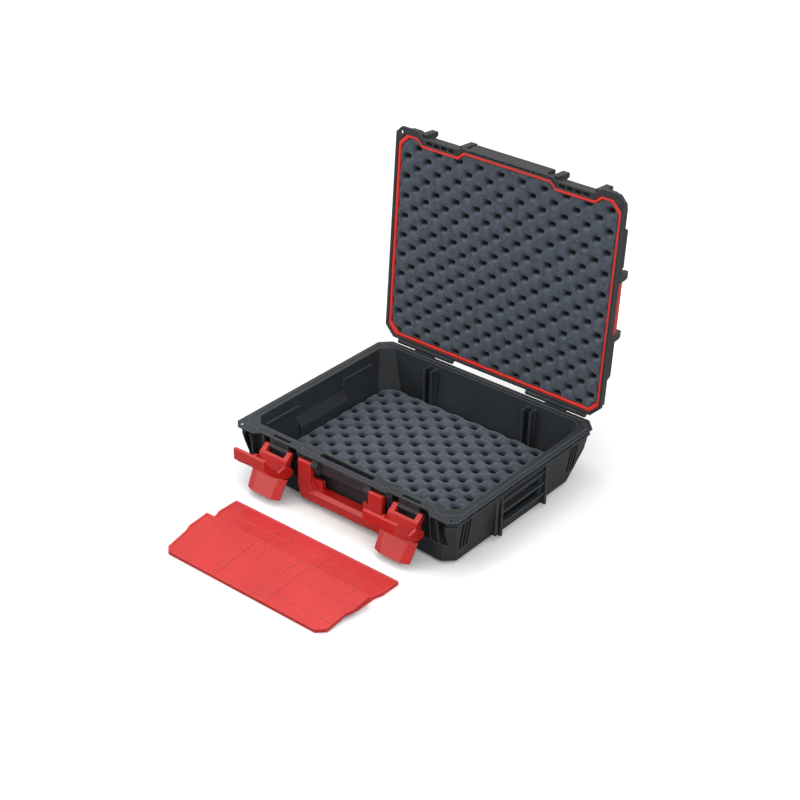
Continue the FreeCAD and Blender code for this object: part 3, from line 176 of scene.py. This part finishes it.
# Shells of base and lid: charcoal polypropylene, injection moulded in one piece each. The
# mould's spark-eroded face gives a fine even grain and a soft sheen, and every edge is eased.
shell_plastic, tree, surface = material("moulded_polypropylene_charcoal")
grain_size, cloud_size = 1.1 * mm, 60 * mm
place = add(tree, "TexCoord").outputs["Object"]
grain = add(tree, "TexNoise", {"Vector": place, "Scale": 1 / grain_size, "Detail": 3.0, "Roughness": 0.6})
cloud = add(tree, "TexNoise", {"Vector": place, "Scale": 1 / cloud_size, "Detail": 2.0})
shade = add(tree, "ValToRGB", {"Fac": cloud.outputs[0]})
shade.color_ramp.elements[0].position, shade.color_ramp.elements[1].position = 0.3, 0.75
shade.color_ramp.elements[0].color = linear("#26292c")
shade.color_ramp.elements[1].color = linear("#2e3235")
gloss = add(tree, "MapRange", {"Value": grain.outputs[0], "To Min": 0.42, "To Max": 0.58})
relief = add(tree, "Bump", {"Height": grain.outputs[0], "Strength": 0.12, "Distance": 0.3 * mm})
# Painted highlights: the eased edges are painted a paler grey than the faces.
paint_edge_highlights(tree, surface, shade.outputs[0], relief, 1.3 * mm, "#71767b", 0.7)
tree.links.new(gloss.outputs[0], surface.inputs["Roughness"])
tree.links.new(relief.outputs[0], surface.inputs["Normal"])
surface.inputs["IOR"].default_value = 1.49
surface.inputs["Specular IOR Level"].default_value = 0.4


def ease_edges(piece, radius, turn=32):
    """Merges a carried node's loose triangles and rounds its edges."""
    weld = piece.modifiers.new("weld", "WELD")
    weld.merge_threshold = 0.002 * mm
    edges = piece.modifiers.new("edges", "BEVEL")
    edges.width = radius
    edges.segments = 2
    edges.limit_method = "ANGLE"
    edges.angle_limit = math.radians(turn)
    edges.miter_outer = "MITER_ARC"


def finish_node(name, look, radius):
    """Gives a carried node its material and, where it has a radius, its rounded edges."""
    piece = nodes[name]
    piece.data.materials.clear()
    piece.data.materials.append(look)
    if radius:
        ease_edges(piece, radius)


finish_node("base_shell", shell_plastic, 0.7 * mm)
finish_node("lid_shell", shell_plastic, 0.7 * mm)


# Seal: a red sponge-rubber cord pressed into the lid's groove all the way round.
seal_rubber, tree, surface = material("sponge_rubber_red")
place = add(tree, "TexCoord").outputs["Object"]
pores = add(tree, "TexNoise", {"Vector": place, "Scale": 1 / (1.5 * mm), "Detail": 2.0})
shade = add(tree, "ValToRGB", {"Fac": pores.outputs[0]})
shade.color_ramp.elements[0].color = linear("#d82a20")
shade.color_ramp.elements[1].color = linear("#f23a2e")
relief = add(tree, "Bump", {"Height": pores.outputs[0], "Strength": 0.15, "Distance": 0.3 * mm})
tree.links.new(shade.outputs[0], surface.inputs["Base Color"])
tree.links.new(relief.outputs[0], surface.inputs["Normal"])
surface.inputs["Roughness"].default_value = 0.6
finish_node("lid_seal", seal_rubber, 1.2 * mm)


# Foam pads: slate-grey open-cell foam, cut between toothed rollers so that its face is an
# egg-crate of staggered pits. One is glued inside the lid, the other lies loose in the base.
foam, tree, surface = material("open_cell_foam_slate")
cell = 1.4 * mm
place = add(tree, "TexCoord").outputs["Object"]
pit_shade = add(tree, "Attribute", attribute_name="pit_shade").outputs["Fac"]
cells = add(tree, "TexVoronoi", {"Vector": place, "Scale": 1 / cell})
wisps = add(tree, "TexNoise", {"Vector": place, "Scale": 1 / (9 * mm), "Detail": 4.0, "Roughness": 0.65})
# Painted shade: the pits, and the pad's walls, are painted darker by depth, down to near black.
shade = add(tree, "ValToRGB", {"Fac": pit_shade})
shade.color_ramp.elements[0].color = linear("#525b66")
shade.color_ramp.elements[1].color = linear("#0f1114")
shade.color_ramp.elements[0].position, shade.color_ramp.elements[1].position = 0.06, 0.62
patches = add(tree, "ValToRGB", {"Fac": wisps.outputs[0]})
patches.color_ramp.elements[0].color = linear("#b9bcc0")
patches.color_ramp.elements[1].color = linear("#ffffff")
patches.color_ramp.elements[0].position, patches.color_ramp.elements[1].position = 0.3, 0.7
tint = add(tree, "Mix", data_type="RGBA", blend_type="MULTIPLY")
tint.inputs["Factor"].default_value = 1.0
tree.links.new(shade.outputs[0], tint.inputs["A"])
tree.links.new(patches.outputs[0], tint.inputs["B"])
# Painted highlight: the pit slopes that face the light side are painted a paler grey.
slope_highlight = add(tree, "Attribute", attribute_name="slope_highlight").outputs["Fac"]
lit = add(tree, "Mix", data_type="RGBA")
lit.inputs["B"].default_value = linear("#94a0ad")
tree.links.new(slope_highlight, lit.inputs["Factor"])
tree.links.new(tint.outputs["Result"], lit.inputs["A"])
tree.links.new(lit.outputs["Result"], surface.inputs["Base Color"])
relief = add(tree, "Bump", {"Height": cells.outputs["Distance"], "Strength": 0.35, "Distance": 0.8 * mm})
tree.links.new(relief.outputs[0], surface.inputs["Normal"])
surface.inputs["Roughness"].default_value = 0.95
surface.inputs["Specular IOR Level"].default_value = 0.15
surface.inputs["Sheen Weight"].default_value = 0.25
surface.inputs["Sheen Roughness"].default_value = 0.5

pitch_x, pitch_y, pit_deep = 39 * mm, 32.5 * mm, 9.5 * mm
mesh_step = 1.7 * mm


def pits(x, y):
    """How deep the face lies, from 0 on a peak to 1 at the bottom of a pit: two crossed waves
    multiplied, so that pits stand on a staggered grid, and raised to a power that narrows them."""
    wave = np.cos(2 * np.pi * x / pitch_x) * np.cos(2 * np.pi * y / pitch_y)
    return ((1 + wave) / 2) ** 3.4


def egg_crate(name, front_line, back_line, face, flat_back, shift, light_side):
    """A pad between two lines given as (x, y) points from left to right. Its face is a grid of
    heights, its walls drop from the grid's rim to a flat back, and the pit depth is kept as an
    attribute for painted shade, and so is a painted highlight on the pit slopes that face the light side.
    The face looks up where it lies above the back, and down where it lies below."""
    front_line, back_line = np.array(front_line), np.array(back_line)
    low_x, high_x = front_line[0, 0], front_line[-1, 0]
    columns = np.arange(low_x, high_x, mesh_step)
    columns = np.unique(np.concatenate([columns, [high_x], front_line[:, 0], back_line[:, 0]]))
    front = np.interp(columns, front_line[:, 0], front_line[:, 1])
    rear = np.interp(columns, back_line[:, 0], back_line[:, 1])
    rows = np.linspace(0, 1, int((rear.max() - front.min()) / mesh_step) + 1)
    x = np.broadcast_to(columns[:, None], (len(columns), len(rows)))
    y = front[:, None] + (rear - front)[:, None] * rows
    sunk = pits(x - shift[0], y - shift[1])
    probe = 1.5 * mm
    # Painted highlight: how far each slope turns to the light side, kept away from the pit bottoms.
    rise = sunk - pits(x - shift[0] + light_side[0] * probe, y - shift[1] + light_side[1] * probe)
    slope_highlight = np.clip(rise * 6 - 0.35, 0, 1) * np.clip(1.6 - 2.2 * sunk, 0, 1) * 0.75
    rim_gap = np.minimum(np.minimum(x - low_x, high_x - x), np.minimum(y - front[:, None], rear[:, None] - y))
    eased = 1.2 * mm * np.exp(-rim_gap / (1.5 * mm))
    inward = 1 if face < flat_back else -1
    z = face + inward * (sunk * pit_deep + eased)
    count = x.size
    place = np.arange(count).reshape(x.shape)
    ring = np.concatenate([place[:-1, 0], place[-1, :-1], place[:0:-1, -1], place[0, :0:-1]])
    flat = lambda a: a.reshape(-1)
    top = np.stack([flat(x), flat(y), flat(z)], axis=1)
    under = np.stack([flat(x)[ring], flat(y)[ring], np.full(len(ring), flat_back)], axis=1)
    quads = np.stack([flat(place[:-1, :-1]), flat(place[1:, :-1]), flat(place[1:, 1:]), flat(place[:-1, 1:])], axis=1)
    low = count + np.arange(len(ring))
    walls = np.stack([ring, low, np.roll(low, -1), np.roll(ring, -1)], axis=1)
    mesh = bpy.data.meshes.new(name)
    mesh.from_pydata(np.concatenate([top, under]).tolist(), [], quads.tolist() + walls.tolist() + [low[::-1].tolist()])
    form = bmesh.new()
    form.from_mesh(mesh)
    bmesh.ops.recalc_face_normals(form, faces=form.faces)
    form.to_mesh(mesh)
    form.free()
    # Painted shade: the face gets its pit depth, the walls a fixed 0.6, and the material paints both darker.
    shade_layer = mesh.attributes.new("pit_shade", "FLOAT", "POINT")
    shade_layer.data.foreach_set("value", np.concatenate([flat(sunk), np.full(len(ring), 0.6)]))
    painted_highlight = mesh.attributes.new("slope_highlight", "FLOAT", "POINT")
    painted_highlight.data.foreach_set("value", np.concatenate([flat(slope_highlight), np.zeros(len(ring))]))
    mesh.polygons.foreach_set("use_smooth", np.arange(len(mesh.polygons)) < len(quads))
    mesh.materials.append(foam)
    made = bpy.data.objects.new(name, mesh)
    bpy.context.scene.collection.objects.link(made)
    return made


hinge = next(joint for joint in frame["joints"] if joint["name"] == "lid_hinge")
swing = Matrix.Translation(hinge["pos_m"]) @ Matrix.Rotation(
    -math.radians(hinge["range_deg"][1]), 4, "X"
) @ Matrix.Translation(-Vector(hinge["pos_m"]))

low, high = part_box("base_foam")
side, front, rear, cut, rear_cut = high[0], low[1], high[1], 12 * mm, 16 * mm
base_pad = egg_crate("base_foam_pad",
                     [(-side, front + cut), (-side + cut, front), (side - cut, front), (side, front + cut)],
                     [(-side, rear - rear_cut), (-side + rear_cut, rear), (side - rear_cut, rear),
                      (side, rear - rear_cut)],
                     high[2] + 0.5 * mm, low[2], (8 * mm, 4 * mm), (0.95, -0.3))
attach(base_pad, "base")
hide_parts("base_foam")

side, front, bay, rear, cut = 197.7 * mm, -159.3 * mm, -150 * mm, 165.5 * mm, 14.6 * mm
bay_left, bay_right, slope_left, slope_right = 87.81 * mm, 158.19 * mm, 77.81 * mm, 168.19 * mm
half_line = [(slope_left, front), (bay_left, bay), (bay_right, bay), (slope_right, front), (side - cut, front),
             (side, front + cut)]
lid_face, lid_back = 85.8 * mm, 104.6 * mm
lid_pad = egg_crate("lid_foam_pad", [(-x, y) for x, y in reversed(half_line)] + half_line,
                    [(-side, rear - cut), (-side + cut, rear), (side - cut, rear), (side, rear - cut)],
                    lid_face, lid_back, (10 * mm, 0), (0.6, 0.8))
lid_pad.data.transform(swing)
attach(lid_pad, "lid")
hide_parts("lid_foam")


# Red moulded parts: handle, latch levers and hooks, and stacking flaps, in glass-filled
# polyamide with a satin face. The dye is a warm signal red, and the eased edges get painted highlights.
red_plastic, tree, surface = material("satin_polyamide_red")
place = add(tree, "TexCoord").outputs["Object"]
grain = add(tree, "TexNoise", {"Vector": place, "Scale": 1 / (1.0 * mm), "Detail": 3.0, "Roughness": 0.6})
cloud = add(tree, "TexNoise", {"Vector": place, "Scale": 1 / (25 * mm), "Detail": 2.0})
shade = add(tree, "ValToRGB", {"Fac": cloud.outputs[0]})
shade.color_ramp.elements[0].position, shade.color_ramp.elements[1].position = 0.3, 0.7
shade.color_ramp.elements[0].color = linear("#b81815")
shade.color_ramp.elements[1].color = linear("#c21d19")
gloss = add(tree, "MapRange", {"Value": grain.outputs[0], "To Min": 0.36, "To Max": 0.5})
relief = add(tree, "Bump", {"Height": grain.outputs[0], "Strength": 0.1, "Distance": 0.25 * mm})
# Painted highlights: the eased edges are painted a pale pink.
paint_edge_highlights(tree, surface, shade.outputs[0], relief, 1.1 * mm, "#ea7468", 0.75)
tree.links.new(gloss.outputs[0], surface.inputs["Roughness"])
tree.links.new(relief.outputs[0], surface.inputs["Normal"])
surface.inputs["IOR"].default_value = 1.53
for part in ("handle", "latch_lever_left", "latch_lever_right", "latch_hook_left", "latch_hook_right",
             "stack_flap_left", "stack_flap_right"):
    finish_node(part, red_plastic, 0.6 * mm)


# Loose dividers: the same red in a softer polypropylene, with a slightly more even face.
divider_plastic, tree, surface = material("moulded_polypropylene_red")
place = add(tree, "TexCoord").outputs["Object"]
grain = add(tree, "TexNoise", {"Vector": place, "Scale": 1 / (1.2 * mm), "Detail": 3.0, "Roughness": 0.6})
cloud = add(tree, "TexNoise", {"Vector": place, "Scale": 1 / (70 * mm), "Detail": 2.0})
shade = add(tree, "ValToRGB", {"Fac": cloud.outputs[0]})
shade.color_ramp.elements[0].position, shade.color_ramp.elements[1].position = 0.3, 0.7
shade.color_ramp.elements[0].color = linear("#c01e1d")
shade.color_ramp.elements[1].color = linear("#cc2624")
gloss = add(tree, "MapRange", {"Value": grain.outputs[0], "To Min": 0.4, "To Max": 0.52})
relief = add(tree, "Bump", {"Height": grain.outputs[0], "Strength": 0.08, "Distance": 0.25 * mm})
# Painted highlights: the eased edges are painted a pale pink.
paint_edge_highlights(tree, surface, shade.outputs[0], relief, 1.0 * mm, "#ef7b72", 0.8)
tree.links.new(gloss.outputs[0], surface.inputs["Roughness"])
tree.links.new(relief.outputs[0], surface.inputs["Normal"])
surface.inputs["IOR"].default_value = 1.49
for part in ("divider_rear", "divider_front"):
    finish_node(part, divider_plastic, 0.45 * mm)


# Pins of hinges, handle, latches and flaps: drawn steel wire, cut to length, with fine lines
# along the wire from the die.
pin_steel, tree, surface = material("drawn_steel_wire")
place = add(tree, "TexCoord").outputs["Object"]
stretched = add(tree, "Mapping", {"Vector": place, "Scale": (40.0, 2500.0, 2500.0)})
lines = add(tree, "TexNoise", {"Vector": stretched.outputs[0], "Scale": 1.0, "Detail": 2.0})
gloss = add(tree, "MapRange", {"Value": lines.outputs[0], "To Min": 0.22, "To Max": 0.42})
shade = add(tree, "ValToRGB", {"Fac": lines.outputs[0]})
shade.color_ramp.elements[0].color = linear("#a9abad")
shade.color_ramp.elements[1].color = linear("#c3c5c7")
tree.links.new(shade.outputs[0], surface.inputs["Base Color"])
tree.links.new(gloss.outputs[0], surface.inputs["Roughness"])
surface.inputs["Metallic"].default_value = 1.0
for part in nodes:
    if "_pin_" in part:
        finish_node(part, pin_steel, 0)
